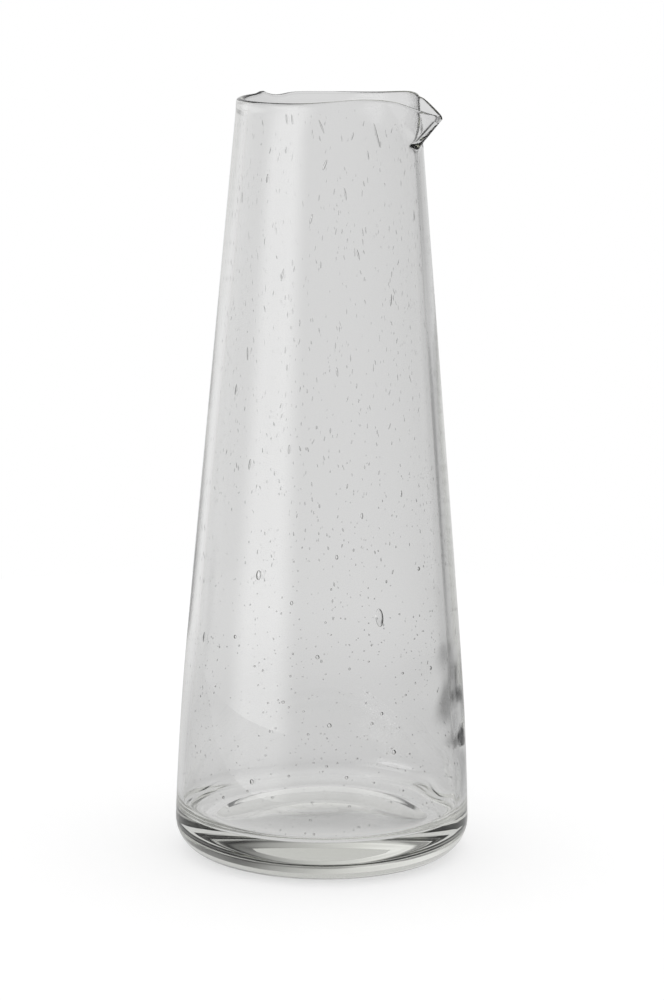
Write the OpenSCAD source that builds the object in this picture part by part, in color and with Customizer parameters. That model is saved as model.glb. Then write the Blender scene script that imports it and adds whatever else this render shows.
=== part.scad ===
// Water carafe blown in one piece from seeded glass, with a spout pulled from its rim.
// The origin is at the middle of the foot, on the table. +Z is up and the spout points
// along +X. Lengths are in millimetres.

/* [Overall] */
// Height from the table to the top of the rim
height = 250; // [200:1:310]
// Widest outer diameter, just above the heel
belly_diameter = 97.6; // [80:0.2:120]
// Outer diameter of the rim
mouth_diameter = 59.2; // [48:0.2:72]

/* [Side] */
// Radius of the rounded heel between the foot and the side
heel_radius = 11; // [9:0.5:16]
// Height above which the side is straight
straight_from = 75; // [50:1:110]
// How far the low part of the side is drawn in from the line of the straight part
side_rounding = 1.8; // [0.6:0.1:4]

/* [Glass] */
// Thickness of the wall at the rim
rim_wall = 2.3; // [1.8:0.1:3.2]
// Thickness of the wall where the side becomes straight
low_wall = 3.4; // [2.6:0.1:5]
// Height of the inner floor's lowest place, in the corner by the wall, above the table
floor_height = 13.5; // [10:0.5:18]
// How far the middle of the inner floor rises above that
floor_rise = 3; // [1:0.2:4]
// Radius of the inside corner between the floor and the wall
floor_corner_radius = 5; // [3:0.5:12]

/* [Foot] */
// Width of the flat ring that the carafe stands on
foot_width = 3.8; // [2:0.2:12]
// Depth at the middle of the hollow pressed up inside that ring
hollow_depth = 4; // [1:0.2:5]

/* [Spout] */
// How far the tip of the spout reaches out past the rim
spout_reach = 10.4; // [6:0.2:14]
// How far the tip hangs below the rim
spout_drop = 4.4; // [2:0.2:7]
// Height of the keel that runs from the tip down to the wall
keel_height = 13.5; // [10:0.5:18]

/* [Seeds] */
// Number of long seeds in the upper wall
long_seed_count = 24; // [1:1:40]
// Length of the longest seed
long_seed_length = 8; // [3:0.5:12]
// Width of the long seeds
long_seed_width = 0.8; // [0.4:0.1:1.2]
// Number of round seeds in the lower wall
round_seed_count = 32; // [1:1:48]
// Diameter of the largest round seed in the wall
round_seed_diameter = 1.5; // [0.6:0.1:1.8]
// Number of round seeds in the base
base_seed_count = 10; // [1:1:16]
// Diameter of the largest seed in the base
base_seed_diameter = 1.8; // [0.8:0.1:2.4]

/* [Hidden] */
$fn = 96;

// Facets round each end of a form that is hulled
hull_facets = 32;
// How far cuts run past the faces that they open
overrun = 5;
// Gap between the gas in a seed and the glass round it
seed_gap = 0.02;
// Radius of the groove at the bottom of the spout's channel
channel_radius = 0.7;
// How far the forms hulled into the spout stay inside the faces that they start from
spout_inset = 0.3;
// Turn from one seed to the next, so that no two stand over each other
seed_turn = 137.5;
// Sizes of successive seeds, as shares of the largest
seed_shares = [1, 0.6, 0.8, 0.5, 0.9, 0.7];
// Height of the lowest and the highest round seed in the wall
round_seed_low = 20;
round_seed_high = 100;
// Height of the lowest long seed, and how far the highest one stays below the spout's keel
long_seed_low = 106;
long_seed_margin = 8;

belly_r = belly_diameter / 2;
mouth_r = mouth_diameter / 2;
bead_r = rim_wall / 2;
bead_z = height - bead_r;

// The line of the straight side meets the widest place of the rim's edge, and stands
// side_rounding outside the belly at the height of the heel's centre
heel_centre = [belly_r - heel_radius, heel_radius];
side_slope = (belly_r + side_rounding - mouth_r) / (bead_z - heel_radius);
side_angle = atan(side_slope);
side_normal = [cos(side_angle), sin(side_angle)];

// The long arc between the heel and the straight side is tangent to both
side_low = [mouth_r + (bead_z - straight_from) * side_slope, straight_from];
side_span = side_low - heel_centre;
arc_r = (side_span * side_span - heel_radius * heel_radius)
      / (2 * (side_span * side_normal - heel_radius));
arc_centre = side_low - arc_r * side_normal;
arc_to_heel = heel_centre - arc_centre;
heel_top = heel_centre + heel_radius * arc_to_heel / norm(arc_to_heel);

// The inner wall is straight from the rim to the floor's corner
inner_low_r = side_low[0] - low_wall;
inner_slope = (inner_low_r - mouth_r + rim_wall) / (bead_z - straight_from);
inner_angle = atan(inner_slope);
corner_z = floor_height + floor_corner_radius;
corner_x = inner_x(corner_z) - floor_corner_radius / cos(inner_angle);
corner_top = [corner_x + floor_corner_radius * cos(inner_angle),
              corner_z + floor_corner_radius * sin(inner_angle)];

// The floor is the top of a ball that the round of the corner touches from outside
floor_top = floor_height + floor_rise;
floor_ball_r = (corner_x * corner_x + floor_rise * floor_rise) / (2 * floor_rise)
             - floor_corner_radius;
floor_ball_z = floor_top - floor_ball_r;
floor_share = floor_ball_r / (floor_ball_r + floor_corner_radius);
floor_edge = [corner_x * floor_share, floor_ball_z + (corner_z - floor_ball_z) * floor_share];

// Radius of the ball whose cap is the hollow under the foot
hollow_radius = belly_r - heel_radius - foot_width;
hollow_ball_r = (hollow_radius * hollow_radius + hollow_depth * hollow_depth) / (2 * hollow_depth);

// The tip of the lip, and where its two edges leave the rim
tip = [mouth_r + spout_reach - bead_r, 0, bead_z - spout_drop];
rim_centre_r = mouth_r - bead_r;
lip_angle = acos(rim_centre_r / tip[0]);
lip_start = [rim_centre_r * cos(lip_angle), rim_centre_r * sin(lip_angle), bead_z];

long_seed_high = height - keel_height - long_seed_margin;

// Outer radius of the side at height z, from the heel up
function outer_x(z) = z > straight_from
    ? mouth_r + (bead_z - z) * side_slope
    : arc_centre[0] + sqrt(arc_r * arc_r - pow(z - arc_centre[1], 2));

// Inner radius of the wall at height z, above the floor's corner
function inner_x(z) = mouth_r - rim_wall + (bead_z - z) * inner_slope;

// Radius of the middle of the wall at height z
function wall_x(z) = (outer_x(z) + inner_x(z)) / 2;

// Size of the seed with number i
function seed_size(i, largest) = largest * seed_shares[i % len(seed_shares)];

module outer_outline() {
    polygon([[0, heel_top[1]], heel_top, side_low, [mouth_r, bead_z], [0, bead_z]]);
    intersection() {
        translate(arc_centre) circle(r = arc_r, $fn = 720);
        translate([0, heel_top[1]]) square([2 * belly_r, straight_from - heel_top[1]]);
    }
    intersection() {
        translate(heel_centre) circle(r = heel_radius);
        square([2 * belly_r, heel_top[1]]);
    }
    square([heel_centre[0], heel_top[1]]);
    translate([rim_centre_r, bead_z]) circle(r = bead_r);
    translate([0, bead_z]) square([rim_centre_r, bead_r]);
}

// The space inside, which leaves the rim's edge round on its inner side too
module inner_outline() {
    difference() {
        polygon([[0, floor_height], [floor_edge[0], floor_height], floor_edge, [corner_x, corner_z],
                 corner_top, [mouth_r - rim_wall, bead_z], [0, bead_z]]);
        intersection() {
            translate([0, floor_ball_z]) circle(r = floor_ball_r, $fn = 720);
            square([floor_edge[0], 2 * floor_top]);
        }
    }
    translate([corner_x, corner_z]) circle(r = floor_corner_radius);
    difference() {
        translate([0, bead_z]) square([rim_centre_r, bead_r + overrun]);
        translate([rim_centre_r, bead_z]) circle(r = bead_r);
    }
}

module hollow() {
    translate([0, 0, hollow_depth - hollow_ball_r]) sphere(r = hollow_ball_r, $fn = 360);
}

module ball(place, r) {
    translate(place) sphere(r = r, $fn = hull_facets);
}

// Skin of the spout, from the rim out to the tip and down the keel to the wall
module spout_outside() {
    keel_z = height - keel_height;
    hull() {
        translate([0, 0, bead_z - bead_r])
            cylinder(r = mouth_r - spout_inset, h = bead_r, $fn = 2 * hull_facets);
        ball(tip, bead_r);
        ball([outer_x(keel_z) - bead_r - spout_inset, 0, keel_z], bead_r);
    }
    for (side = [-1, 1])
        hull() {
            ball([lip_start[0], side * lip_start[1], lip_start[2]], bead_r - spout_inset);
            ball(tip + [-spout_inset, side * spout_inset, 0], bead_r - spout_inset);
        }
}

// Channel that the water runs down, open above
module spout_channel() {
    channel_x = tip[0] - bead_r - channel_radius;
    channel_z = height - keel_height + 2 * rim_wall;
    hull() {
        translate([0, 0, bead_z - bead_r])
            cylinder(r = mouth_r - rim_wall - spout_inset, h = bead_r + overrun,
                     $fn = 2 * hull_facets);
        ball([channel_x, 0, tip[2] - bead_r + channel_radius], channel_radius);
        ball([channel_x, 0, height + overrun], channel_radius);
        ball([inner_x(channel_z) - channel_radius - spout_inset, 0, channel_z], channel_radius);
    }
}

// A seed drawn out along the wall, with round ends
module long_seed(length, r) {
    rotate_extrude()
        intersection() {
            union() {
                translate([0, length / 2 - r]) circle(r = r, $fn = hull_facets);
                translate([0, r - length / 2]) circle(r = r, $fn = hull_facets);
                translate([0, r - length / 2]) square([r, length - 2 * r]);
            }
            translate([0, -length]) square([length, 2 * length]);
        }
}

// All the seeds, each smaller than its cavity by gap on every side
module seeds(gap) {
    for (i = [0 : long_seed_count - 1]) {
        z = long_seed_low + (long_seed_high - long_seed_low) * (i + 0.5) / long_seed_count;
        rotate([0, 0, i * seed_turn])
            translate([wall_x(z), 0, z])
                rotate([0, -side_angle, 0])
                    long_seed(seed_size(i, long_seed_length) - 2 * gap, long_seed_width / 2 - gap);
    }
    for (i = [0 : round_seed_count - 1]) {
        z = round_seed_low + (round_seed_high - round_seed_low) * (i + 0.5) / round_seed_count;
        rotate([0, 0, i * seed_turn])
            translate([wall_x(z), 0, z])
                sphere(r = seed_size(i, round_seed_diameter) / 2 - gap, $fn = hull_facets);
    }
    for (i = [0 : base_seed_count - 1])
        rotate([0, 0, i * seed_turn])
            translate([hollow_radius * sqrt((i + 0.5) / base_seed_count), 0,
                       (floor_height + hollow_depth) / 2])
                sphere(r = seed_size(i, base_seed_diameter) / 2 - gap, $fn = hull_facets);
}

module glass_body() {
    color([0.82, 0.85, 0.83, 0.45])
        difference() {
            union() {
                rotate_extrude() outer_outline();
                spout_outside();
            }
            rotate_extrude() inner_outline();
            spout_channel();
            hollow();
            seeds(0);
        }
}

module gas_seeds() {
    color([0.97, 0.98, 0.98, 0.8]) seeds(seed_gap);
}

glass_body();
gas_seeds();
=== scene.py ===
"""A water carafe blown in one piece from seeded glass, standing in a plain white studio.

The glass is one closed mesh: the wall is turned from an outline, its spout is pulled from
the rim, and the gas seeds are cavities in it. Lengths are in metres. The spout points
along +X, and an azimuth is counted from -Y towards +X.
"""

import math

import bmesh
import bpy
import numpy as np
from mathutils import Matrix, Vector


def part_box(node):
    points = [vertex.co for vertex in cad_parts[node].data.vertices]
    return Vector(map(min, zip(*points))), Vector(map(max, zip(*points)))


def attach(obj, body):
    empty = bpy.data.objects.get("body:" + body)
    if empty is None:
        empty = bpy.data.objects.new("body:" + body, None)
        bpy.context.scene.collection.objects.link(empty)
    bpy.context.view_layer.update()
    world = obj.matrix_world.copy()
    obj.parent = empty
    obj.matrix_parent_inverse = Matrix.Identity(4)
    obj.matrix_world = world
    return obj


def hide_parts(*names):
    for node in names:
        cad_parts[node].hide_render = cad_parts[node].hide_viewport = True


bl_info = {
    "name": "Seeded glass carafe",
    "version": (1, 0, 0),
    "blender": (4, 5, 0),
    "location": "3D View > Sidebar > Carafe",
    "description": "Builds a blown water carafe of seeded glass and a studio for it",
    "category": "Object",
}

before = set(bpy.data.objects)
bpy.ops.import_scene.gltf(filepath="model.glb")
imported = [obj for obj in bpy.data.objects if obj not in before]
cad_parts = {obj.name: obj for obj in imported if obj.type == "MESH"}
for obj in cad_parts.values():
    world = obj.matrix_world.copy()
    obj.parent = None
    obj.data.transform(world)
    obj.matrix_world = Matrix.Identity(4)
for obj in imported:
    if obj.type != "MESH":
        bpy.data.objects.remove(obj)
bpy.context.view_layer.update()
_, GLASS_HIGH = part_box("glass_body")
MM = 0.001
PICTURE = (664, 1000)

# Soft panels round the studio, as the glass sees them: azimuth, half width and blur of the
# sides in degrees, low and high edge and their blur as sines of elevation, and what the
# panel adds to the light of the surround
PANELS = (
    (208, 40, 18, -1.50, 0.02, 0.06, 0.34),
    (226, 26, 16, 0.02, 0.34, 0.05, 0.42),
    (221, 9, 6, 0.30, 0.62, 0.05, 0.40),
    (210, 60, 20, 0.32, 0.62, 0.06, -0.14),
    (168, 16, 12, 0.00, 0.65, 0.06, -0.18),
    (248, 28, 14, -0.26, 0.30, 0.06, 0.08),
    (272, 34, 18, -1.50, 0.30, 0.15, 0.12),
    (287, 24, 12, -0.16, 0.36, 0.05, 0.34),
    (328, 22, 12, -0.16, 0.36, 0.05, 1.70),
    (128, 32, 14, -1.50, 0.50, 0.10, -0.12),
    (180, 6, 5, -0.26, 0.50, 0.10, -0.08),
    (172, 9, 4, -0.46, -0.28, 0.04, -0.42),
    (200, 60, 25, -0.52, -0.33, 0.08, -0.07),
    (238, 26, 14, -1.50, -0.44, 0.06, 0.08),
    (180, 60, 20, 0.64, 0.86, 0.05, 0.45),
    (30, 50, 20, -0.60, 0.40, 0.10, 0.12),
    (0, 400, 10, 0.84, 2.00, 0.06, 0.45),
)

# Rows of the mesh on each stretch of the outline, and columns round it
UNDERSIDE_ROWS = 14
HEEL_ROWS = 22
SIDE_ROWS = 28
WALL_ROWS = 18
LIP_ROWS = 40
BEAD_ROWS = 14
CORNER_ROWS = 20
FLOOR_ROWS = 26
COLUMNS = 208
# How much closer together the columns stand at the spout than they would evenly
COLUMN_CROWDING = 0.74
# The rows below the rim start this far down, and crowd towards the rim by this power
LIP_STRETCH = 42 * MM
LIP_CROWDING = 0.72
# Segments and rings of each scattered seed, and of each large one
SEED_SEGMENTS = 6
SEED_RINGS = 4
LARGE_SEED_SEGMENTS = 14
LARGE_SEED_RINGS = 10

# Kink, dip and lean of the rim: angle round the axis and spread in radians, and rise
RIM_MARKS = (
    (math.radians(163), 0.07, 0.75 * MM),
    (math.radians(149), 0.14, -0.80 * MM),
    (math.radians(-130), 0.80, -0.25 * MM),
)
# Angle from the spout up to which the rim is raised, and how soon the rise fades beyond it
SHOULDER_ANGLE = math.radians(44)
SHOULDER_FADE = 0.52
# Share of the lip's drop that is a wide dip of the rim, and the spread of that dip; the rest
# follows the spout's flanks
DIP_SHARE = 0.58
DIP_SPREAD = 0.38

# How softly the keel's foot bends out of the wall, as a share of the keel's height
FOOT_SOFTNESS = 0.06
# The spout's half angle at the keel's foot, as a share of that at the tip
FOOT_ANGLE_SHARE = 0.35
# How softly a flank bends out of the wall, as a share of the radius
CREASE_SOFTNESS = 0.002
# Angles from the spout between which the pulled glass regains its thickness
PULLED_FROM = 0.9
PULLED_TO = 2.1
# Share of the thinning that the keel is spared, and the spread of that in radians
KEEL_SPARED = 0.4
KEEL_SPARED_SPREAD = 0.03
# Spread in radians of the stretch at the spout where the edge doesn't swell
BEAD_GAP_SPREAD = 0.6

# Folds inside the low wall: middle and spread round the axis, and the heights between which
# they set in and those between which they end
FOLD_MIDDLE = math.radians(-4)
FOLD_SPREAD = 0.4
FOLD_START = (16 * MM, 30 * MM)
FOLD_END = (55 * MM, 95 * MM)
# The folds cross in two sets: share, pitch up the wall, turn round the axis and phase
FOLD_SETS = ((1.0, 5.2 * MM, 2.6, 0.0), (0.5, 3.1 * MM, -4.2, 1.0))
# One lump among them: angle and spread round the axis, height and spread of that, and depth
LUMP_ANGLE = math.radians(78)
LUMP_SPREAD = 0.2
LUMP_HEIGHT = 20 * MM
LUMP_TALLNESS = 3.5 * MM
LUMP_DEPTH_SHARE = 3.0
# Swirl on the floor: radius and spread of that, angle and spread round the axis, and pitch
SWIRL_RADIUS = 15 * MM
SWIRL_WIDTH = 7 * MM
SWIRL_ANGLE = math.radians(-92)
SWIRL_SPREAD = 0.9
SWIRL_PITCH = 1.3 * MM
SWIRL_TURN = 2.5

# Waves of the wall: share, lobes round the axis, turn from foot to rim and share of the phase
WAVES = ((0.5, 2, 2.1, 1.0), (0.3, 3, -4.0, 2.3), (0.2, 5, 6.5, 3.1))
WAVE_HEIGHT = 250 * MM
# Heights between which the waves set in, outside and inside, and the phase of each
OUTER_WAVES = (12 * MM, 50 * MM)
INNER_WAVES = (20 * MM, 60 * MM)
OUTER_PHASE = 0.4
INNER_PHASE = 1.9
# How much more uneven the wall is inside than outside
INSIDE_UNEVENNESS = 1.6

# Columns and rows of the sheet that the small seeds are scattered on, the height where it
# starts and how far below the rim it ends
BED_COLUMNS = 96
BED_ROWS = 40
BED_LOW = 16 * MM
BED_MARGIN = 4 * MM
# Noise and limits that gather the small seeds in drifts
DRIFT_SCALE = 28.0
DRIFT_NOISE = (0.36, 0.64)
DRIFT_CROWD = (0.45, 1.55)
# Power of an even chance that makes most seeds small
SEED_RARITY = 3.0
# Spread of the small seeds' lengths, how far they tilt and how flat they lie in the wall
SEED_LENGTHS = (0.6, 1.3)
SEED_TILT = 0.3
SEED_FLATNESS = 0.5
# Thickness of a large seed as a share of its width, and at most as a share of the wall
LARGE_SEED_FLATNESS = 0.6
LARGE_SEED_WALL_SHARE = 0.24
# Heights between which seeds pass from round to drawn out, as shares of the carafe's height
STRETCH_SHARES = (0.28, 0.8)

# Fineness of the ripple on the skin, and how it is drawn out up the wall
RIPPLE_SCALE = 60.0
RIPPLE_STRETCH = 0.3

# Radii between which the painted pool of light on the table under the base fades out
PAINTED_POOL_FROM = 45 * MM
PAINTED_POOL_TO = 95 * MM
# Sides of the table's round edge, its whiteness, and its own glow as the camera sees it
TABLE_SIDES = 96
TABLE_WHITE = 0.5
TABLE_GLOW = 0.55
# Whiteness of the table as the glass sees it
BENT_TABLE_WHITE = 0.12
# Width of the camera's film in millimetres, and how far it sees in metres
FILM_WIDTH = 36.0
FAR_CLIP = 100.0
# How many times a ray may pass into or out of glass, and be mirrored
GLASS_BOUNCES = 48
GLOSSY_BOUNCES = 16

# Large seeds that show one by one: how far across the front they lie (-1 left edge, 1 right
# edge), height, length and width in millimetres, and how many degrees they lean to the right
LARGE_SEEDS = (
    (0.42, 87, 6.0, 2.7, -4), (-0.50, 100, 3.2, 1.8, 4), (-0.88, 76, 3.4, 1.1, 5),
    (-0.65, 79, 1.3, 1.1, 0), (-0.04, 75, 1.4, 1.3, 0), (0.73, 101, 1.4, 1.1, 0),
    (-0.28, 60, 1.0, 1.0, 0), (0.78, 68, 1.4, 1.1, 10), (0.05, 53, 1.5, 1.4, 0),
    (0.42, 56, 1.2, 1.1, 0), (0.35, 53, 1.0, 1.0, 0), (0.50, 43, 1.6, 1.4, 0),
    (0.17, 36, 1.2, 1.1, 0), (-0.48, 33, 1.7, 1.4, 0), (-0.67, 26, 1.1, 1.0, 0),
    (-0.62, 135, 3.4, 0.8, 6), (-0.30, 141, 3.0, 0.7, 2), (0.30, 120, 2.0, 0.8, 0),
    (0.10, 107, 1.6, 0.9, 0), (-0.24, 92, 1.4, 1.0, 0), (0.62, 126, 2.2, 0.7, 6),
    (-0.78, 158, 3.6, 0.7, 8), (-0.70, 170, 4.2, 0.6, -6), (0.10, 166, 3.0, 0.6, -6),
    (0.60, 188, 3.8, 0.6, 8), (-0.42, 196, 4.0, 0.6, 10), (0.30, 203, 3.0, 0.6, -14),
    (0.52, 240, 8.0, 0.6, -14), (0.42, 234, 3.0, 0.5, -8), (-0.45, 245, 3.4, 0.5, -10),
    (-0.03, 231, 3.6, 0.7, 20), (-0.62, 226, 3.0, 0.6, 6), (-0.07, 243, 4.6, 0.5, -22),
    (0.86, 214, 3.6, 0.5, 4), (-0.86, 219, 3.6, 0.5, -8), (0.18, 222, 4.2, 0.5, -10),
    (-0.39, 245, 3.2, 0.5, -10), (0.26, 240, 2.6, 0.5, 18), (-0.16, 214, 3.4, 0.6, 12),
)


class CarafeShape(bpy.types.PropertyGroup):
    """Sizes of the glass"""

    height: bpy.props.FloatProperty(
        name="Height", description="Height of the rim above the table",
        default=GLASS_HIGH[2], unit="LENGTH")
    belly_radius: bpy.props.FloatProperty(
        name="Belly radius", description="Widest outer radius, just above the heel",
        default=GLASS_HIGH[0], unit="LENGTH")
    mouth_radius: bpy.props.FloatProperty(
        name="Mouth radius", description="Outer radius of the rim",
        default=29.6 * MM, unit="LENGTH")
    heel_radius: bpy.props.FloatProperty(
        name="Heel radius", description="Radius of the round heel between foot and side",
        default=11 * MM, unit="LENGTH")
    straight_from: bpy.props.FloatProperty(
        name="Straight from", description="Height above which the side is straight",
        default=75 * MM, unit="LENGTH")
    side_rounding: bpy.props.FloatProperty(
        name="Side rounding", description="How far the low side is drawn in from the straight line",
        default=1.8 * MM, unit="LENGTH")
    rim_wall: bpy.props.FloatProperty(
        name="Wall at the rim", description="Thickness of the wall near the rim",
        default=2.3 * MM, unit="LENGTH")
    low_wall: bpy.props.FloatProperty(
        name="Wall low down", description="Thickness of the wall where the side becomes straight",
        default=3.4 * MM, unit="LENGTH")
    floor_height: bpy.props.FloatProperty(
        name="Floor height", description="Height of the inner floor's edge above the table",
        default=13.5 * MM, unit="LENGTH")
    floor_dome: bpy.props.FloatProperty(
        name="Floor dome", description="How far the middle of the inner floor rises",
        default=3 * MM, unit="LENGTH")
    corner_radius: bpy.props.FloatProperty(
        name="Floor corner", description="Radius of the inside corner between floor and wall",
        default=5 * MM, unit="LENGTH")
    hollow_radius: bpy.props.FloatProperty(
        name="Hollow radius", description="Radius of the hollow pressed up under the foot",
        default=34 * MM, unit="LENGTH")
    hollow_depth: bpy.props.FloatProperty(
        name="Hollow depth", description="Depth of the hollow at its middle",
        default=4 * MM, unit="LENGTH")
    bead_swell: bpy.props.FloatProperty(
        name="Bead swell", description="How far the fire-polished edge swells on each side",
        default=0.14 * MM, unit="LENGTH")
    bead_depth: bpy.props.FloatProperty(
        name="Bead depth", description="How far below the rim the swelling reaches",
        default=2.3 * MM, unit="LENGTH")
    spout_reach: bpy.props.FloatProperty(
        name="Spout reach", description="How far the tip reaches out past the rim",
        default=10.4 * MM, unit="LENGTH")
    spout_drop: bpy.props.FloatProperty(
        name="Spout drop", description="How far the tip hangs below the rim",
        default=4.4 * MM, unit="LENGTH")
    keel_height: bpy.props.FloatProperty(
        name="Keel height", description="How far below the rim the keel starts out of the wall",
        default=15.5 * MM, unit="LENGTH")
    spout_half_angle: bpy.props.FloatProperty(
        name="Spout half angle", description="Angle round the axis from the keel to a flank's start",
        default=math.radians(19), subtype="ANGLE")
    keel_rounding: bpy.props.FloatProperty(
        name="Keel rounding", description="Angle round the axis over which the keel is rounded",
        default=0.045, subtype="ANGLE")
    spout_thinning: bpy.props.FloatProperty(
        name="Spout thinning", description="Share of the wall's thickness lost where the lip is pulled",
        default=0.6, min=0.0, max=0.8)
    channel_rise: bpy.props.FloatProperty(
        name="Channel rise", description="How far the channel starts above the foot of the keel",
        default=1.1 * MM, unit="LENGTH")
    shoulder_rise: bpy.props.FloatProperty(
        name="Shoulder rise", description="How far the rim rises on each side of the spout",
        default=1.5 * MM, unit="LENGTH")
    waviness: bpy.props.FloatProperty(
        name="Waviness", description="Slow unevenness of the hand-blown wall",
        default=0.16 * MM, unit="LENGTH")
    fold_depth: bpy.props.FloatProperty(
        name="Fold depth", description="Depth of the small folds inside the low wall",
        default=0.2 * MM, unit="LENGTH")
    swirl_depth: bpy.props.FloatProperty(
        name="Swirl depth", description="Depth of the swirl marks on the inner floor",
        default=0.05 * MM, unit="LENGTH")


class CarafeSeeds(bpy.types.PropertyGroup):
    """Gas seeds in the glass"""

    density: bpy.props.FloatProperty(
        name="Density", description="Seeds for each square metre of wall",
        default=33000.0, min=0.0)
    random_seed: bpy.props.IntProperty(
        name="Random seed", description="Number that fixes where the seeds fall", default=7)
    smallest: bpy.props.FloatProperty(
        name="Smallest", description="Radius of the smallest seed",
        default=0.17 * MM, unit="LENGTH")
    largest: bpy.props.FloatProperty(
        name="Largest", description="Radius of the largest scattered seed",
        default=0.44 * MM, unit="LENGTH")
    stretch_low: bpy.props.FloatProperty(
        name="Stretch low", description="Length of a seed for its width, near the base",
        default=1.1, min=1.0)
    stretch_high: bpy.props.FloatProperty(
        name="Stretch high", description="Length of a seed for its width, near the rim",
        default=8.5, min=1.0)


class CarafeGlass(bpy.types.PropertyGroup):
    """Finish of the glass"""

    tint: bpy.props.FloatVectorProperty(
        name="Tint", description="Colour that thick glass lets through",
        subtype="COLOR", size=3, default=(0.80, 0.808, 0.75), min=0.0, max=1.0)
    absorption: bpy.props.FloatProperty(
        name="Absorption", description="How strongly each metre of glass takes light away",
        default=10.0, min=0.0)
    ior: bpy.props.FloatProperty(
        name="Refractive index", description="Refractive index of soda glass",
        default=1.5, min=1.0, max=2.5)
    ripple: bpy.props.FloatProperty(
        name="Ripple", description="Depth of the fine ripple on the skin",
        default=0.02 * MM, unit="LENGTH")


class CarafeStudio(bpy.types.PropertyGroup):
    """Camera and light"""

    camera_azimuth: bpy.props.FloatProperty(
        name="Camera azimuth", description="Direction of the camera, from -Y towards +X",
        default=math.radians(23.0), subtype="ANGLE")
    camera_distance: bpy.props.FloatProperty(
        name="Camera distance", description="Level distance from the carafe's axis",
        default=1.1566, unit="LENGTH")
    camera_height: bpy.props.FloatProperty(
        name="Camera height", description="Height of the lens above the table",
        default=0.3357, unit="LENGTH")
    camera_aside: bpy.props.FloatProperty(
        name="Camera aside", description="How far the camera stands to the right of the axis",
        default=0.0024, unit="LENGTH")
    camera_pitch: bpy.props.FloatProperty(
        name="Camera pitch", description="How far the camera looks down",
        default=math.radians(10.661), subtype="ANGLE")
    camera_roll: bpy.props.FloatProperty(
        name="Camera roll", description="How far the picture leans to the right",
        default=math.radians(0.563), subtype="ANGLE")
    focal_pixels: bpy.props.FloatProperty(
        name="Focal length in pixels", description="Focal length as pixels of the picture's height",
        default=3574.0)
    table_radius: bpy.props.FloatProperty(
        name="Table radius", description="Radius of the white table",
        default=0.45, unit="LENGTH")
    # Painted light: beyond these radii the table, as the glass sees it, is painted with the studio's light
    # and shade, taken from a point at the eye height
    painted_light_from: bpy.props.FloatProperty(
        name="Fade from", description="Where the table starts to take on the studio's tones",
        default=0.08, unit="LENGTH")
    painted_light_to: bpy.props.FloatProperty(
        name="Fade to", description="Where the table has taken on the studio's tones",
        default=0.26, unit="LENGTH")
    eye_height: bpy.props.FloatProperty(
        name="Eye height", description="Height of the glass from which the table's tones are taken",
        default=0.1, unit="LENGTH")
    table_tone: bpy.props.FloatProperty(
        name="Table tone", description="What the table adds to its light, as the glass sees it",
        default=0.46, min=0.0)
    # Painted light: glow painted on the table under the base as a pool of light, seen by the glass
    painted_pool_tone: bpy.props.FloatProperty(
        name="Pool tone", description="Light that the glass gathers on the table under its base",
        default=0.13, min=0.0)
    surround: bpy.props.FloatProperty(
        name="Surround", description="Brightness of the studio between its panels",
        default=0.36, min=0.0)


# The outline of the turned glass


def side_line(shape):
    """Slope of the straight side, and the radius at its low end."""
    bead = shape.rim_wall / 2
    top = shape.height - bead
    slope = (shape.belly_radius + shape.side_rounding - shape.mouth_radius) / (top - shape.heel_radius)
    low = shape.mouth_radius + (top - shape.straight_from) * slope
    return slope, low, top


def heel_centre(shape):
    """Centre (radius, height) of the round heel."""
    return np.array([shape.belly_radius - shape.heel_radius, shape.heel_radius])


def side_arc(shape):
    """Centre (radius, height) and radius of the long arc that joins the heel to the straight side."""
    slope, low, _ = side_line(shape)
    angle = math.atan(slope)
    normal = np.array([math.cos(angle), math.sin(angle)])
    heel = heel_centre(shape)
    start = np.array([low, shape.straight_from])
    span = start - heel
    radius = (span @ span - shape.heel_radius ** 2) / (2 * (span @ normal - shape.heel_radius))
    return start - radius * normal, radius


def outer_radius(shape, z):
    """Radius of the outside at height z, above the heel."""
    slope, _, top = side_line(shape)
    centre, radius = side_arc(shape)
    straight = shape.mouth_radius + (top - z) * slope
    drop = np.clip(z - centre[1], -radius, radius)
    curved = centre[0] + np.sqrt(radius ** 2 - drop ** 2)
    return np.where(z > shape.straight_from, straight, curved)


def inner_slope(shape):
    """Slope of the inside of the wall."""
    _, low, top = side_line(shape)
    return (low - shape.low_wall - shape.mouth_radius + shape.rim_wall) / (top - shape.straight_from)


def inner_radius(shape, z):
    """Radius of the inside of the wall at height z, above the floor's corner."""
    _, _, top = side_line(shape)
    return shape.mouth_radius - shape.rim_wall + (top - z) * inner_slope(shape)


def floor_corner(shape):
    """Centre (radius, height) of the round inside corner, and the wall's lean above it."""
    lean = math.atan(inner_slope(shape))
    z = shape.floor_height + shape.corner_radius
    return inner_radius(shape, z) - shape.corner_radius / math.cos(lean), z, lean


def dome(shape, r, edge):
    """Rise of the inner floor at radius r."""
    return shape.floor_dome * max(0.0, 1 - (r / edge) ** 2)


def column_angles():
    """Angles of the mesh's columns, from -pi to pi, closest together at the spout."""
    even = np.linspace(-math.pi, math.pi, COLUMNS, endpoint=False)
    return even - COLUMN_CROWDING * np.sin(even)


# The spout, and what hand work did to the rim and the wall


def spout_reach_at(shape, z):
    """How far the keel stands out from the wall at height z."""
    tip = shape.height - shape.spout_drop
    foot = shape.height - shape.keel_height
    share = (z - foot) / (tip - foot)
    return shape.spout_reach * 0.5 * (share + np.sqrt(share ** 2 + FOOT_SOFTNESS ** 2))


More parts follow.
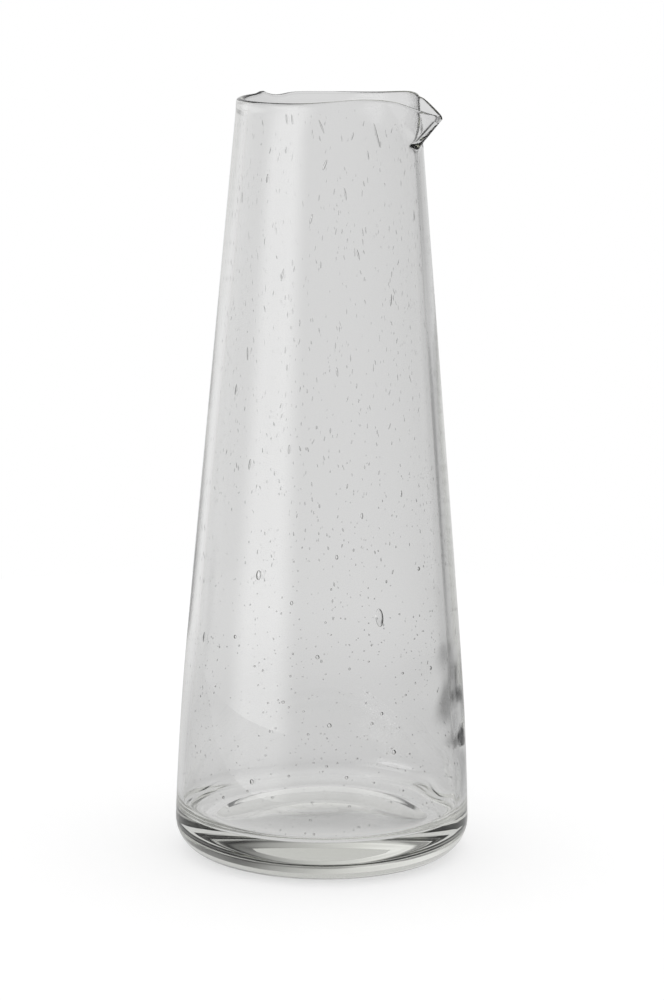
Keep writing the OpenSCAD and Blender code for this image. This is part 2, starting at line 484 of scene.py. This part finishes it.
def spout_factor(shape, angle, z):
    """What the wall's radius is multiplied by: two flat flanks run from a crease to the keel."""
    reach = spout_reach_at(shape, z)
    opened = FOOT_ANGLE_SHARE + (1 - FOOT_ANGLE_SHARE) * reach / shape.spout_reach
    half = shape.spout_half_angle * opened
    keel = 1 + reach / outer_radius(shape, z)
    facing = np.arctan2(keel - np.cos(half), np.sin(half))
    away = np.sqrt(angle ** 2 + shape.keel_rounding ** 2) - shape.keel_rounding
    flank = keel * np.cos(facing) / np.cos(np.minimum(away, facing) - facing)
    return 0.5 * (1 + flank + np.sqrt((flank - 1) ** 2 + CREASE_SOFTNESS ** 2))


def bump(angle, middle, width):
    """A smooth bump of height 1 round one angle."""
    turn = (angle - middle + math.pi) % (2 * math.pi) - math.pi
    return np.exp(-(turn / width) ** 2)


def settle(z, low, high):
    """0 below low, 1 above high, smooth between."""
    t = np.clip((z - low) / (high - low), 0, 1)
    return t * t * (3 - 2 * t)


def rim_height(shape, angle):
    """Height of the rim's top round the mouth."""
    beyond = np.maximum(np.abs(angle) - SHOULDER_ANGLE, 0.0)
    rise = np.exp(-(beyond / SHOULDER_FADE) ** 2)
    factor = spout_factor(shape, angle, np.full_like(angle, shape.height - shape.spout_drop))
    keel = 1 + shape.spout_reach / outer_radius(shape, np.array(shape.height - shape.spout_drop))
    share = np.clip((factor - 1) / (keel - 1), 0, 1)
    dip = DIP_SHARE * bump(angle, 0, DIP_SPREAD) + (1 - DIP_SHARE) * share
    drop = (shape.spout_drop + shape.shoulder_rise) * dip
    marks = sum(height * bump(angle, middle, spread) for middle, spread, height in RIM_MARKS)
    return shape.height + shape.shoulder_rise * rise - drop + marks


def waves(angle, z, phase):
    """Slow unevenness of the wall, between -1 and 1."""
    tall = z / WAVE_HEIGHT
    return sum(share * np.sin(lobes * angle + climb * tall + part * phase)
               for share, lobes, climb, part in WAVES)


def folds(angle, z):
    """Small folds inside the low wall where the glass chilled, on the side below the spout."""
    side = bump(angle, FOLD_MIDDLE, FOLD_SPREAD)
    band = settle(z, *FOLD_START) * (1 - settle(z, *FOLD_END))
    fold = sum(share * np.sin(z / pitch + turn * angle + phase)
               for share, pitch, turn, phase in FOLD_SETS)
    lump = bump(angle, LUMP_ANGLE, LUMP_SPREAD) * np.exp(-((z - LUMP_HEIGHT) / LUMP_TALLNESS) ** 2)
    return side * band * fold - LUMP_DEPTH_SHARE * lump


def swirl(angle, r):
    """Marks that the gathering iron left on the inner floor, between -1 and 1."""
    near = np.exp(-((r - SWIRL_RADIUS) / SWIRL_WIDTH) ** 2)
    side = bump(angle, SWIRL_ANGLE, SWIRL_SPREAD)
    return near * side * np.sin(r / SWIRL_PITCH + SWIRL_TURN * angle)


def bead_swell_at(shape, angle, below):
    """How far the fire-polished edge swells, some way below its top; the pulled lip has none."""
    swell = shape.bead_swell * np.exp(-(below / shape.bead_depth) ** 2)
    return swell * (1 - bump(angle, 0, BEAD_GAP_SPREAD))


def outside_at(shape, angle, z, edge):
    """Outer radius at height z, with the middle of the edge at another height."""
    swell = bead_swell_at(shape, angle, edge - z)
    uneven = shape.waviness * waves(angle, z, OUTER_PHASE) * settle(z, *OUTER_WAVES)
    return outer_radius(shape, z) * spout_factor(shape, angle, z) + swell + uneven


def inside_at(shape, angle, z, edge):
    """Inner radius at height z; the glass is thinner where the lip was pulled."""
    keel_share = np.clip((z - shape.height + shape.keel_height)
                         / (shape.keel_height - shape.spout_drop), 0, 1)
    factor = spout_factor(shape, angle, z - shape.channel_rise * (1 - keel_share))
    beside = 1 - settle(np.abs(angle), PULLED_FROM, PULLED_TO)
    pulled = spout_reach_at(shape, z) / shape.spout_reach * beside
    spared = KEEL_SPARED * bump(angle, 0, KEEL_SPARED_SPREAD)
    thinned = 1 - shape.spout_thinning * pulled * (1 - spared)
    wall = (outer_radius(shape, z) - inner_radius(shape, z)) * thinned
    uneven = INSIDE_UNEVENNESS * shape.waviness * waves(angle, z, INNER_PHASE)
    uneven = uneven * settle(z, *INNER_WAVES)
    uneven = uneven + shape.fold_depth * folds(angle, z)
    return outer_radius(shape, z) * factor - wall - bead_swell_at(shape, angle, edge - z) + uneven


def foot_rows(shape, ones):
    """Rows of (radius, height) from the middle of the hollow over the foot and up the heel."""
    rows = []
    cap_radius = (shape.hollow_radius ** 2 + shape.hollow_depth ** 2) / (2 * shape.hollow_depth)
    for share in np.linspace(0, 1, UNDERSIDE_ROWS)[1:]:
        r = shape.hollow_radius * share
        z = shape.hollow_depth - cap_radius + math.sqrt(cap_radius ** 2 - r ** 2)
        rows.append((r * ones, z * ones))
    heel = heel_centre(shape)
    arc_centre, _ = side_arc(shape)
    towards = heel - arc_centre
    for a in np.linspace(-math.pi / 2, math.atan2(towards[1], towards[0]), HEEL_ROWS):
        rows.append(((heel[0] + shape.heel_radius * math.cos(a)) * ones,
                     (heel[1] + shape.heel_radius * math.sin(a)) * ones))
    return rows


def floor_rows(shape, angle):
    """Rows of (radius, height) round the inside corner and in towards the floor's middle."""
    rows = []
    ones = np.ones_like(angle)
    corner_x, corner_z, lean = floor_corner(shape)
    for a in np.linspace(lean, -math.pi / 2, CORNER_ROWS)[1:]:
        r = corner_x + shape.corner_radius * math.cos(a)
        z = corner_z + shape.corner_radius * math.sin(a)
        rows.append((r * ones, (z + dome(shape, r, corner_x)) * ones))
    for share in np.linspace(1, 0, FLOOR_ROWS)[1:-1]:
        r = corner_x * share
        mark = shape.swirl_depth * swirl(angle, r)
        rows.append((r * ones, shape.floor_height + dome(shape, r, corner_x) + mark))
    return rows


def wall_rings(shape, angle):
    """Rows of (radius, height) for every column: up the outside, over the rim, down the inside."""
    ones = np.ones_like(angle)
    bead = shape.rim_wall / 2
    edge = rim_height(shape, angle) - bead
    lip_from = shape.height - LIP_STRETCH

    rows = foot_rows(shape, ones)
    heel_top = rows[-1][1][0]
    up = list(np.linspace(heel_top, shape.straight_from, SIDE_ROWS)[1:])
    up += list(np.linspace(shape.straight_from, lip_from, WALL_ROWS)[1:])
    heights = [z * ones for z in up]
    heights += [lip_from + share * (edge - lip_from)
                for share in np.linspace(0, 1, LIP_ROWS)[1:] ** LIP_CROWDING]
    rows += [(outside_at(shape, angle, z, edge), z) for z in heights]

    outer_lip, inner_lip = rows[-1][0], inside_at(shape, angle, heights[-1], edge)
    middle, half = (outer_lip + inner_lip) / 2, (outer_lip - inner_lip) / 2
    for a in np.linspace(0, math.pi, BEAD_ROWS)[1:-1]:
        rows.append((middle + half * math.cos(a), edge + bead * math.sin(a)))

    _, corner_z, lean = floor_corner(shape)
    corner_top = corner_z + shape.corner_radius * math.sin(lean)
    down = [z for z in reversed(heights) if z.min() > shape.straight_from]
    down += [z * ones for z in np.linspace(shape.straight_from, corner_top, SIDE_ROWS)]
    rows += [(inside_at(shape, angle, z, edge), z) for z in down]
    return rows + floor_rows(shape, angle)


def blown_wall(shape):
    """The closed glass wall as a mesh."""
    angle = column_angles()
    rows = wall_rings(shape, angle)
    count = len(rows)
    radius = np.array([r for r, _ in rows])
    height = np.array([z for _, z in rows])
    points = np.stack([radius * np.cos(angle), radius * np.sin(angle), height], axis=-1)
    vertices = [tuple(p) for p in points.reshape(-1, 3)]
    under = len(vertices)
    vertices += [(0, 0, shape.hollow_depth), (0, 0, shape.floor_height + shape.floor_dome)]
    faces = []
    for i in range(count - 1):
        for j in range(COLUMNS):
            k = (j + 1) % COLUMNS
            faces.append((i * COLUMNS + j, i * COLUMNS + k, (i + 1) * COLUMNS + k, (i + 1) * COLUMNS + j))
    last = (count - 1) * COLUMNS
    for j in range(COLUMNS):
        k = (j + 1) % COLUMNS
        faces.append((under, k, j))
        faces.append((under + 1, last + j, last + k))
    mesh = bpy.data.meshes.new("carafe_glass")
    mesh.from_pydata(vertices, [], faces)
    mesh.shade_smooth()
    return mesh


# Gas seeds


def seed_bed(shape):
    """A sheet in the middle of the wall, on which the seeds are scattered."""
    angle = np.linspace(-math.pi, math.pi, BED_COLUMNS, endpoint=False)
    rim = rim_height(shape, angle)
    rings = []
    for share in np.linspace(0, 1, BED_ROWS):
        z = BED_LOW + share * (rim - BED_MARGIN - BED_LOW)
        middle = (outer_radius(shape, z) + inner_radius(shape, z)) / 2
        rings.append((middle * spout_factor(shape, angle, z), z))
    points = np.stack([[r * np.cos(angle), r * np.sin(angle), z] for r, z in rings])
    vertices = [tuple(p) for p in points.transpose(0, 2, 1).reshape(-1, 3)]
    n = len(angle)
    faces = [(i * n + j, i * n + (j + 1) % n, (i + 1) * n + (j + 1) % n, (i + 1) * n + j)
             for i in range(len(rings) - 1) for j in range(n)]
    mesh = bpy.data.meshes.new("seed_bed")
    mesh.from_pydata(vertices, [], faces)
    return mesh


def maths_with(node, link):
    """Function that adds a maths node to a tree and gives its result."""

    def maths(operation, a, b=None, c=None):
        step = node("ShaderNodeMath")
        step.operation = operation
        for socket, value in zip(step.inputs, (a, b, c)):
            if isinstance(value, (int, float)):
                socket.default_value = value
            elif value is not None:
                link(value, socket)
        return step.outputs[0]

    return maths


def seed_tree():
    """Node tree that scatters seeds on a sheet, round low down and drawn out high up."""
    tree = bpy.data.node_groups.new("scatter_seeds", "GeometryNodeTree")
    add = tree.interface.new_socket
    add("Geometry", in_out="INPUT", socket_type="NodeSocketGeometry")
    for name in ("Density", "Smallest", "Largest", "Stretch Low", "Stretch High", "Low", "High"):
        add(name, in_out="INPUT", socket_type="NodeSocketFloat")
    add("Seed", in_out="INPUT", socket_type="NodeSocketInt")
    add("Material", in_out="INPUT", socket_type="NodeSocketMaterial")
    add("Geometry", in_out="OUTPUT", socket_type="NodeSocketGeometry")
    node, link = tree.nodes.new, tree.links.new
    given = node("NodeGroupInput").outputs
    points = node("GeometryNodeDistributePointsOnFaces")
    link(given["Geometry"], points.inputs["Mesh"])
    # The seeds lie in drifts
    drift = node("ShaderNodeTexNoise")
    drift.inputs["Scale"].default_value = DRIFT_SCALE
    drift.inputs["Detail"].default_value = 1.0
    crowd = node("ShaderNodeMapRange")
    limits = ("From Min", "From Max", "To Min", "To Max")
    for name, value in zip(limits, DRIFT_NOISE + DRIFT_CROWD):
        crowd.inputs[name].default_value = value
    link(drift.outputs["Fac"], crowd.inputs["Value"])
    thick = node("ShaderNodeMath")
    thick.operation = "MULTIPLY"
    link(crowd.outputs[0], thick.inputs[0])
    link(given["Density"], thick.inputs[1])
    link(thick.outputs[0], points.inputs["Density"])
    link(given["Seed"], points.inputs["Seed"])

    def chance(offset, low=0.0, high=1.0):
        value = node("FunctionNodeRandomValue")
        value.data_type = "FLOAT"
        value.inputs[2].default_value = low
        value.inputs[3].default_value = high
        value.inputs["Seed"].default_value = offset
        return value.outputs[1]

    maths = maths_with(node, link)

    place = node("ShaderNodeSeparateXYZ")
    link(node("GeometryNodeInputPosition").outputs[0], place.inputs[0])
    share = node("ShaderNodeMapRange")
    link(place.outputs["Z"], share.inputs["Value"])
    link(given["Low"], share.inputs["From Min"])
    link(given["High"], share.inputs["From Max"])
    link(given["Stretch Low"], share.inputs["To Min"])
    link(given["Stretch High"], share.inputs["To Max"])
    # Few seeds are large: a high power of an even chance
    size = maths("MULTIPLY_ADD", maths("POWER", chance(1), SEED_RARITY),
                 maths("SUBTRACT", given["Largest"], given["Smallest"]), given["Smallest"])
    stretch = maths("MULTIPLY", share.outputs[0], chance(2, *SEED_LENGTHS))
    stretch = maths("MAXIMUM", stretch, 1.0)
    # A drawn-out seed is thinner than a round one of the same gas
    width = maths("DIVIDE", size, maths("POWER", stretch, 0.5))
    scale = node("ShaderNodeCombineXYZ")
    link(width, scale.inputs["X"])
    link(maths("MULTIPLY", width, SEED_FLATNESS), scale.inputs["Y"])
    link(maths("MULTIPLY", width, stretch), scale.inputs["Z"])

    along = node("ShaderNodeCombineXYZ")
    link(chance(3, -SEED_TILT, SEED_TILT), along.inputs["X"])
    link(chance(4, -SEED_TILT, SEED_TILT), along.inputs["Y"])
    along.inputs["Z"].default_value = 1.0
    turn = node("FunctionNodeAxesToRotation")
    turn.primary_axis = "Z"
    turn.secondary_axis = "Y"
    link(along.outputs[0], turn.inputs[0])
    link(points.outputs["Normal"], turn.inputs[1])

    ball = node("GeometryNodeMeshUVSphere")
    ball.inputs["Radius"].default_value = 1.0
    ball.inputs["Segments"].default_value = SEED_SEGMENTS
    ball.inputs["Rings"].default_value = SEED_RINGS
    place_balls = node("GeometryNodeInstanceOnPoints")
    link(points.outputs["Points"], place_balls.inputs["Points"])
    link(ball.outputs["Mesh"], place_balls.inputs["Instance"])
    link(turn.outputs[0], place_balls.inputs["Rotation"])
    link(scale.outputs[0], place_balls.inputs["Scale"])
    real = node("GeometryNodeRealizeInstances")
    link(place_balls.outputs[0], real.inputs[0])
    finish = node("GeometryNodeSetMaterial")
    link(real.outputs[0], finish.inputs["Geometry"])
    link(given["Material"], finish.inputs["Material"])
    link(finish.outputs[0], node("NodeGroupOutput").inputs[0])
    return tree


def scattered_seeds(shape, seeds, material):
    """Mesh of all the scattered seeds."""
    bed = bpy.data.objects.new("seed_bed", seed_bed(shape))
    bpy.context.scene.collection.objects.link(bed)
    modifier = bed.modifiers.new("seeds", "NODES")
    tree = seed_tree()
    modifier.node_group = tree
    values = {
        "Density": seeds.density, "Smallest": seeds.smallest, "Largest": seeds.largest,
        "Stretch Low": seeds.stretch_low, "Stretch High": seeds.stretch_high,
        "Low": STRETCH_SHARES[0] * shape.height, "High": STRETCH_SHARES[1] * shape.height,
        "Seed": seeds.random_seed, "Material": material,
    }
    for item in tree.interface.items_tree:
        if item.in_out == "INPUT" and item.name in values:
            modifier[item.identifier] = values[item.name]
    graph = bpy.context.evaluated_depsgraph_get()
    mesh = bpy.data.meshes.new_from_object(bed.evaluated_get(graph))
    mesh.shade_smooth()
    bpy.data.objects.remove(bed)
    return mesh


def large_seeds(shape, azimuth):
    """Mesh of the large seeds, in the front of the wall as seen from one azimuth."""
    build = bmesh.new()
    for across, height, length, width, lean in LARGE_SEEDS:
        z = height * MM
        angle = azimuth - math.pi / 2 + math.asin(across)
        outer, inner = float(outer_radius(shape, z)), float(inner_radius(shape, z))
        factor = float(spout_factor(shape, np.array(angle), z))
        place = Matrix.Rotation(angle, 4, "Z") @ Matrix.Translation(((outer + inner) / 2 * factor, 0, z))
        tilt = Matrix.Rotation(-math.atan(inner_slope(shape)), 4, "Y")
        turn = Matrix.Rotation(math.radians(-lean), 4, "X")
        thick = min(LARGE_SEED_FLATNESS * width * MM, LARGE_SEED_WALL_SHARE * (outer - inner))
        size = Matrix.Diagonal((thick / 2, width * MM / 2, length * MM / 2, 1))
        bmesh.ops.create_uvsphere(build, u_segments=LARGE_SEED_SEGMENTS, v_segments=LARGE_SEED_RINGS,
                                  radius=1.0, matrix=place @ tilt @ turn @ size)
    mesh = bpy.data.meshes.new("large_seeds")
    build.to_mesh(mesh)
    build.free()
    mesh.shade_smooth()
    return mesh


# Materials


def glass_material(glass):
    """Clear soda glass with a faint ripple on its skin and a grey-green depth."""
    material = bpy.data.materials.new("seeded_glass")
    material.use_nodes = True
    tree = material.node_tree
    shader = tree.nodes["Principled BSDF"]
    shader.inputs["Base Color"].default_value = (1.0, 1.0, 1.0, 1.0)
    shader.inputs["Roughness"].default_value = 0.0
    shader.inputs["IOR"].default_value = glass.ior
    shader.inputs["Transmission Weight"].default_value = 1.0
    ripple = tree.nodes.new("ShaderNodeGroup")
    ripple.node_tree = ripple_group()
    bump_node = tree.nodes.new("ShaderNodeBump")
    bump_node.inputs["Distance"].default_value = glass.ripple
    bump_node.inputs["Strength"].default_value = 1.0
    tree.links.new(ripple.outputs["Height"], bump_node.inputs["Height"])
    tree.links.new(bump_node.outputs["Normal"], shader.inputs["Normal"])
    depth = tree.nodes.new("ShaderNodeVolumeAbsorption")
    depth.inputs["Color"].default_value = (*glass.tint, 1.0)
    depth.inputs["Density"].default_value = glass.absorption
    output = tree.nodes["Material Output"]
    tree.links.new(depth.outputs["Volume"], output.inputs["Volume"])
    return material


def ripple_group():
    """Shader group: the height of a fine ripple drawn out up the wall."""
    group = bpy.data.node_groups.new("blown_ripple", "ShaderNodeTree")
    scale = group.interface.new_socket("Scale", in_out="INPUT", socket_type="NodeSocketFloat")
    scale.default_value = RIPPLE_SCALE
    group.interface.new_socket("Height", in_out="OUTPUT", socket_type="NodeSocketFloat")
    node, link = group.nodes.new, group.links.new
    given = node("NodeGroupInput")
    place = node("ShaderNodeTexCoord")
    stretch = node("ShaderNodeMapping")
    stretch.inputs["Scale"].default_value = (1.0, 1.0, RIPPLE_STRETCH)
    noise = node("ShaderNodeTexNoise")
    noise.inputs["Detail"].default_value = 1.0
    link(place.outputs["Object"], stretch.inputs["Vector"])
    link(stretch.outputs["Vector"], noise.inputs["Vector"])
    link(given.outputs["Scale"], noise.inputs["Scale"])
    link(noise.outputs["Fac"], node("NodeGroupOutput").inputs["Height"])
    return group


# The studio


def make_camera(studio):
    """Camera at the photograph's viewing angle."""
    azimuth = studio.camera_azimuth
    right = Vector((math.cos(azimuth), math.sin(azimuth), 0))
    back = Vector((math.sin(azimuth), -math.cos(azimuth), 0))
    place = back * studio.camera_distance + right * studio.camera_aside
    place.z = studio.camera_height
    data = bpy.data.cameras.new("camera")
    data.sensor_width = FILM_WIDTH
    data.lens = data.sensor_width * studio.focal_pixels / PICTURE[1]
    data.clip_end = FAR_CLIP
    camera = bpy.data.objects.new("camera", data)
    level = Matrix.Rotation(azimuth, 4, "Z") @ Matrix.Rotation(math.pi / 2 - studio.camera_pitch, 4, "X")
    camera.matrix_world = Matrix.Translation(place) @ level @ Matrix.Rotation(studio.camera_roll, 4, "Z")
    bpy.context.scene.collection.objects.link(camera)
    bpy.context.scene.camera = camera


def panel_group():
    """Shader group: how much of a soft panel lies in one direction of the studio."""
    group = bpy.data.node_groups.new("soft_panel", "ShaderNodeTree")
    group.interface.new_socket("Direction", in_out="INPUT", socket_type="NodeSocketVector")
    for name in ("Azimuth", "Half Width", "Side Blur", "Low", "High", "Height Blur"):
        group.interface.new_socket(name, in_out="INPUT", socket_type="NodeSocketFloat")
    group.interface.new_socket("Mask", in_out="OUTPUT", socket_type="NodeSocketFloat")
    node, link = group.nodes.new, group.links.new
    given = node("NodeGroupInput").outputs

    maths = maths_with(node, link)

    def soft_edge(value, start, end):
        edge = node("ShaderNodeMapRange")
        edge.interpolation_type = "SMOOTHSTEP"
        for socket, source in zip(("Value", "From Min", "From Max"), (value, start, end)):
            link(source, edge.inputs[socket])
        return edge.outputs[0]

    where = node("ShaderNodeSeparateXYZ")
    link(given["Direction"], where.inputs[0])
    turn = maths("ARCTAN2", where.outputs["X"], maths("MULTIPLY", where.outputs["Y"], -1.0))
    away = maths("ABSOLUTE", maths("WRAP", maths("SUBTRACT", turn, given["Azimuth"]), math.pi, -math.pi))
    beside = soft_edge(away, maths("ADD", given["Half Width"], given["Side Blur"]),
                       maths("SUBTRACT", given["Half Width"], given["Side Blur"]))
    above = soft_edge(where.outputs["Z"], maths("SUBTRACT", given["Low"], given["Height Blur"]),
                      maths("ADD", given["Low"], given["Height Blur"]))
    below = soft_edge(where.outputs["Z"], maths("ADD", given["High"], given["Height Blur"]),
                      maths("SUBTRACT", given["High"], given["Height Blur"]))
    link(maths("MULTIPLY", beside, maths("MULTIPLY", above, below)), node("NodeGroupOutput").inputs["Mask"])
    return group


def studio_tone_group(studio):
    """Shader group: brightness of the studio in one direction."""
    panels = panel_group()
    group = bpy.data.node_groups.new("studio_tone", "ShaderNodeTree")
    group.interface.new_socket("Direction", in_out="INPUT", socket_type="NodeSocketVector")
    group.interface.new_socket("Tone", in_out="OUTPUT", socket_type="NodeSocketFloat")
    node, link = group.nodes.new, group.links.new
    direction = node("NodeGroupInput").outputs["Direction"]
    tone = None
    for azimuth, half_width, side_blur, low, high, height_blur, light in PANELS:
        panel = node("ShaderNodeGroup")
        panel.node_tree = panels
        link(direction, panel.inputs["Direction"])
        for name, value in (("Azimuth", math.radians(azimuth)), ("Half Width", math.radians(half_width)),
                            ("Side Blur", math.radians(side_blur)), ("Low", low), ("High", high),
                            ("Height Blur", height_blur)):
            panel.inputs[name].default_value = value
        total = node("ShaderNodeMath")
        total.operation = "MULTIPLY_ADD"
        link(panel.outputs["Mask"], total.inputs[0])
        total.inputs[1].default_value = light
        if tone is None:
            total.inputs[2].default_value = studio.surround
        else:
            link(tone, total.inputs[2])
        tone = total.outputs[0]
    link(tone, node("NodeGroupOutput").inputs["Tone"])
    return group


def seen_by_glass(node, link):
    """Mask that is 1 for the rays that the glass bends or mirrors."""
    path = node("ShaderNodeLightPath")
    either = node("ShaderNodeMath")
    either.operation = "MAXIMUM"
    link(path.outputs["Is Glossy Ray"], either.inputs[0])
    link(path.outputs["Is Transmission Ray"], either.inputs[1])
    return either.outputs[0]


def world_light(studio, tones):
    """White to the camera and the table; to the glass, a grey studio with soft panels."""
    world = bpy.data.worlds.new("studio")
    world.use_nodes = True
    tree = world.node_tree
    node, link = tree.nodes.new, tree.links.new
    tone = node("ShaderNodeGroup")
    tone.node_tree = tones
    link(node("ShaderNodeTexCoord").outputs["Generated"], tone.inputs["Direction"])
    bent = node("ShaderNodeBackground")
    bent.inputs["Color"].default_value = (1, 1, 1, 1)
    link(tone.outputs["Tone"], bent.inputs["Strength"])
    plain = tree.nodes["Background"]
    plain.inputs["Color"].default_value = (1, 1, 1, 1)
    plain.inputs["Strength"].default_value = 1.0
    mix = node("ShaderNodeMixShader")
    link(seen_by_glass(node, link), mix.inputs["Fac"])
    link(plain.outputs[0], mix.inputs[1])
    link(bent.outputs[0], mix.inputs[2])
    link(mix.outputs[0], tree.nodes["World Output"].inputs["Surface"])
    bpy.context.scene.world = world


def make_table(studio, tones):
    """Round white table that keeps the carafe's shadow; as the glass sees it, a pool of light is painted
    under the base and the studio's light and shade is painted towards its edge.
    """
    mesh = bpy.data.meshes.new("table")
    shape = bmesh.new()
    bmesh.ops.create_circle(shape, cap_ends=True, segments=TABLE_SIDES, radius=studio.table_radius)
    shape.to_mesh(mesh)
    shape.free()
    table = bpy.data.objects.new("table", mesh)
    bpy.context.scene.collection.objects.link(table)
    material = bpy.data.materials.new("table")
    material.use_nodes = True
    tree = material.node_tree
    node, link = tree.nodes.new, tree.links.new
    tree.nodes.remove(tree.nodes["Principled BSDF"])

    def lit(albedo, glow):
        """Matt surface that also glows, so that its shadow stays pale."""
        matt, own = node("ShaderNodeBsdfDiffuse"), node("ShaderNodeEmission")
        both = node("ShaderNodeAddShader")
        matt.inputs["Color"].default_value = (albedo, albedo, albedo, 1)
        own.inputs["Strength"].default_value = glow
        link(matt.outputs[0], both.inputs[0])
        link(own.outputs[0], both.inputs[1])
        return both.outputs[0]

    place = node("ShaderNodeTexCoord").outputs["Object"]
    # Painted light: the studio's light and shade, as seen from a point in the glass, painted on the table
    # as an emission
    tone = node("ShaderNodeGroup")
    tone.node_tree = tones
    seen = node("ShaderNodeVectorMath")
    seen.operation = "SUBTRACT"
    link(place, seen.inputs[0])
    seen.inputs[1].default_value = (0, 0, studio.eye_height)
    towards = node("ShaderNodeVectorMath")
    towards.operation = "NORMALIZE"
    link(seen.outputs[0], towards.inputs[0])
    link(towards.outputs[0], tone.inputs["Direction"])
    far = node("ShaderNodeEmission")
    link(tone.outputs["Tone"], far.inputs["Strength"])
    # Painted light: towards its edge, the table as the glass sees it is painted with the studio's light and
    # shade in each direction
    distance = node("ShaderNodeVectorMath")
    distance.operation = "LENGTH"
    link(place, distance.inputs[0])
    painted_light_fade = node("ShaderNodeMapRange")
    painted_light_fade.interpolation_type = "SMOOTHSTEP"
    painted_light_fade.inputs["From Min"].default_value = studio.painted_light_from
    painted_light_fade.inputs["From Max"].default_value = studio.painted_light_to
    link(distance.outputs["Value"], painted_light_fade.inputs["Value"])
    # Painted light: a pool of light painted on the table under the base, fading out between two radii
    painted_pool_mask = node("ShaderNodeMapRange")
    painted_pool_mask.interpolation_type = "SMOOTHSTEP"
    for name, value in (("From Min", PAINTED_POOL_FROM), ("From Max", PAINTED_POOL_TO), ("To Min", studio.painted_pool_tone),
                        ("To Max", 0.0)):
        painted_pool_mask.inputs[name].default_value = value
    link(distance.outputs["Value"], painted_pool_mask.inputs["Value"])
    painted_pool_glow, near = node("ShaderNodeEmission"), node("ShaderNodeAddShader")
    link(painted_pool_mask.outputs[0], painted_pool_glow.inputs["Strength"])
    link(lit(BENT_TABLE_WHITE, studio.table_tone), near.inputs[0])
    link(painted_pool_glow.outputs[0], near.inputs[1])
    bent, mix = node("ShaderNodeMixShader"), node("ShaderNodeMixShader")
    link(painted_light_fade.outputs[0], bent.inputs["Fac"])
    link(near.outputs[0], bent.inputs[1])
    link(far.outputs[0], bent.inputs[2])
    link(seen_by_glass(node, link), mix.inputs["Fac"])
    link(lit(TABLE_WHITE, TABLE_GLOW), mix.inputs[1])
    link(bent.outputs[0], mix.inputs[2])
    link(mix.outputs[0], tree.nodes["Material Output"].inputs["Surface"])
    mesh.materials.append(material)


class CARAFE_OT_blow(bpy.types.Operator):
    """Blow the glass and trap its seeds"""

    bl_idname = "carafe.blow"
    bl_label = "Blow the glass"

    def execute(self, context):
        scene = context.scene
        mesh = blown_wall(scene.carafe_shape)
        material = glass_material(scene.carafe_glass)
        mesh.materials.append(material)
        whole = bmesh.new()
        whole.from_mesh(mesh)
        for seeds in (scattered_seeds(scene.carafe_shape, scene.carafe_seeds, material),
                      large_seeds(scene.carafe_shape, scene.carafe_studio.camera_azimuth)):
            seeds.flip_normals()
            whole.from_mesh(seeds)
        whole.to_mesh(mesh)
        whole.free()
        print("glass triangles", sum(len(p.vertices) - 2 for p in mesh.polygons))
        piece = bpy.data.objects.new("carafe_glass", mesh)
        scene.collection.objects.link(piece)
        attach(piece, "root")
        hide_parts("glass_body", "gas_seeds")
        return {"FINISHED"}


class CARAFE_OT_stage(bpy.types.Operator):
    """Set the camera, the table and the light"""

    bl_idname = "carafe.stage"
    bl_label = "Set the studio"

    def execute(self, context):
        scene = context.scene
        scene.view_settings.view_transform = "Standard"
        scene.cycles.max_bounces = GLASS_BOUNCES
        scene.cycles.transmission_bounces = GLASS_BOUNCES
        scene.cycles.glossy_bounces = GLOSSY_BOUNCES
        make_camera(scene.carafe_studio)
        tones = studio_tone_group(scene.carafe_studio)
        world_light(scene.carafe_studio, tones)
        make_table(scene.carafe_studio, tones)
        return {"FINISHED"}


class CARAFE_PT_panel(bpy.types.Panel):
    """Carafe panel in the 3D view's sidebar"""

    bl_label = "Carafe"
    bl_space_type = "VIEW_3D"
    bl_region_type = "UI"
    bl_category = "Carafe"

    def draw(self, context):
        scene = context.scene
        for heading, group in (("Glass shape", scene.carafe_shape), ("Seeds", scene.carafe_seeds),
                               ("Finish", scene.carafe_glass), ("Studio", scene.carafe_studio)):
            box = self.layout.box()
            box.label(text=heading)
            for name in group.__annotations__:
                box.prop(group, name)
        self.layout.operator(CARAFE_OT_blow.bl_idname)
        self.layout.operator(CARAFE_OT_stage.bl_idname)


GROUPS = {
    "carafe_shape": CarafeShape,
    "carafe_seeds": CarafeSeeds,
    "carafe_glass": CarafeGlass,
    "carafe_studio": CarafeStudio,
}
OTHERS = (CARAFE_OT_blow, CARAFE_OT_stage, CARAFE_PT_panel)


def register():
    """Add the add-on's classes and its properties on the scene."""
    for name, group in GROUPS.items():
        bpy.utils.register_class(group)
        setattr(bpy.types.Scene, name, bpy.props.PointerProperty(type=group))
    for cls in OTHERS:
        bpy.utils.register_class(cls)


def unregister():
    """Take the add-on's classes and properties away again."""
    for cls in reversed(OTHERS):
        bpy.utils.unregister_class(cls)
    for name, group in GROUPS.items():
        delattr(bpy.types.Scene, name)
        bpy.utils.unregister_class(group)


def main():
    """Register the add-on, run its operators and note the sizes."""
    register()
    bpy.ops.carafe.stage()
    bpy.ops.carafe.blow()


if __name__ == "__main__":
    main()
